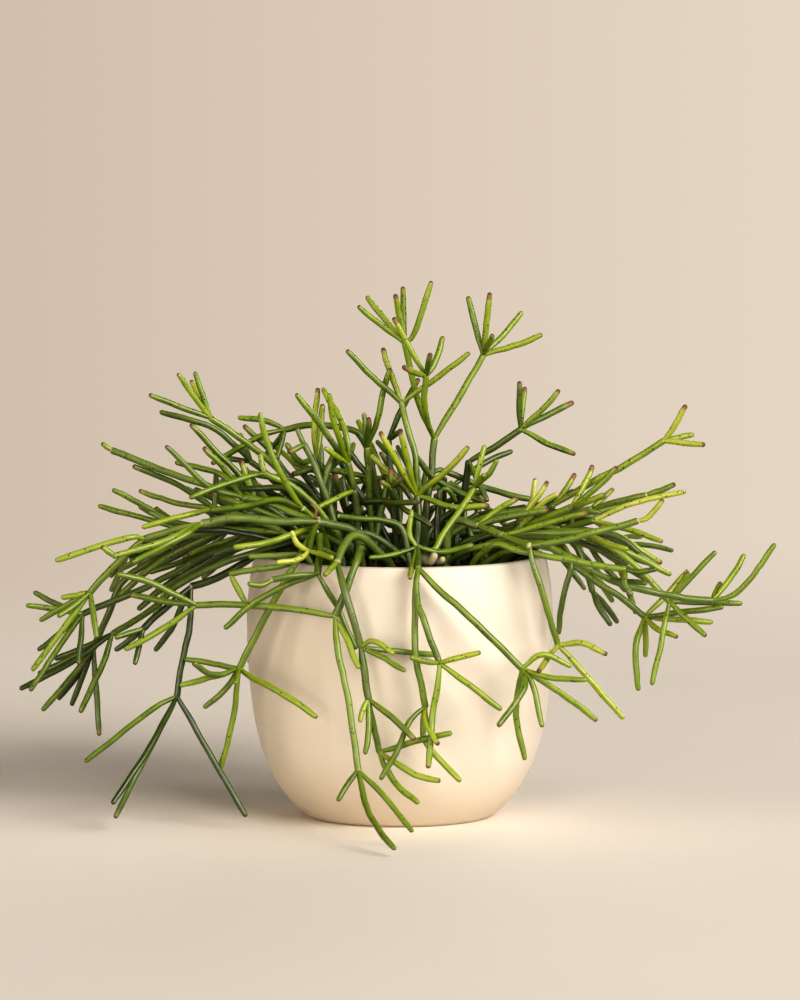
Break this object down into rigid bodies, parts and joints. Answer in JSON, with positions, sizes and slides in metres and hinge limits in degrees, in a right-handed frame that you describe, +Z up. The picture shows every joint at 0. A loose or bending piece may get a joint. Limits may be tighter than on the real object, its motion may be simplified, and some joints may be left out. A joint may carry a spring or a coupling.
{
  "type": "potted rhipsalis neves-armondii",
  "caption": "Leafless jungle cactus with thin forking green stems, upright in the middle and hanging over the rim of a round cream ceramic pot filled with potting mix.",
  "frame": {"origin": "centre of the underside of the pot's foot, on the surface it stands on", "axes": "+Z up along the pot's axis, +X to the right seen from the front, along the widest spread of the stems, -Y to the front, where the most stems hang over the rim"},
  "size_m": [0.3946, 0.3235, 0.282],
  "materials": {
    "pot_ceramic": "matte, smooth, warm cream",
    "potting_mix": "rough dark brown bark and peat mix",
    "stem_skin": "smooth waxy green skin with fine dark speckles and browned tips"
  },
  "bodies": {
    "root": {"pot": "pot_ceramic", "soil": "potting_mix", "stem_crown_tall": "stem_skin", "stem_crown_front": "stem_skin", "stem_crown_behind": "stem_skin", "stem_crown_left": "stem_skin", "stem_crown_fork": "stem_skin", "stem_crown_slim": "stem_skin", "stem_crown_old": "stem_skin", "stem_crown_arch": "stem_skin", "stem_crown_cut": "stem_skin", "stem_crown_bent": "stem_skin", "stem_crown_stub": "stem_skin", "stem_front_fountain": "stem_skin", "stem_front_arch": "stem_skin", "stem_front_pale": "stem_skin", "stem_front_dark": "stem_skin", "stem_front_left": "stem_skin", "stem_left_low": "stem_skin", "stem_left_pale": "stem_skin", "stem_left_long": "stem_skin", "stem_left_shiny": "stem_skin", "stem_left_dark": "stem_skin", "stem_left_high": "stem_skin", "stem_left_back": "stem_skin", "stem_left_mid": "stem_skin", "stem_left_flat": "stem_skin", "stem_left_reach": "stem_skin", "stem_left_bright": "stem_skin", "stem_left_young": "stem_skin", "stem_right_crown": "stem_skin", "stem_right_high": "stem_skin", "stem_right_pair": "stem_skin", "stem_right_near": "stem_skin", "stem_right_chain": "stem_skin", "stem_right_inner": "stem_skin", "stem_right_ring": "stem_skin", "stem_right_wide": "stem_skin", "stem_right_long": "stem_skin", "stem_right_swept": "stem_skin", "stem_right_drop": "stem_skin", "stem_right_level": "stem_skin", "stem_right_fork": "stem_skin", "stem_right_thick": "stem_skin", "stem_back_low": "stem_skin", "stem_back_left": "stem_skin", "stem_back_right": "stem_skin", "stem_back_far_left": "stem_skin", "stem_back_far_right": "stem_skin", "stem_back_crown": "stem_skin", "stem_back_high": "stem_skin"}
  },
  "joints": []
}
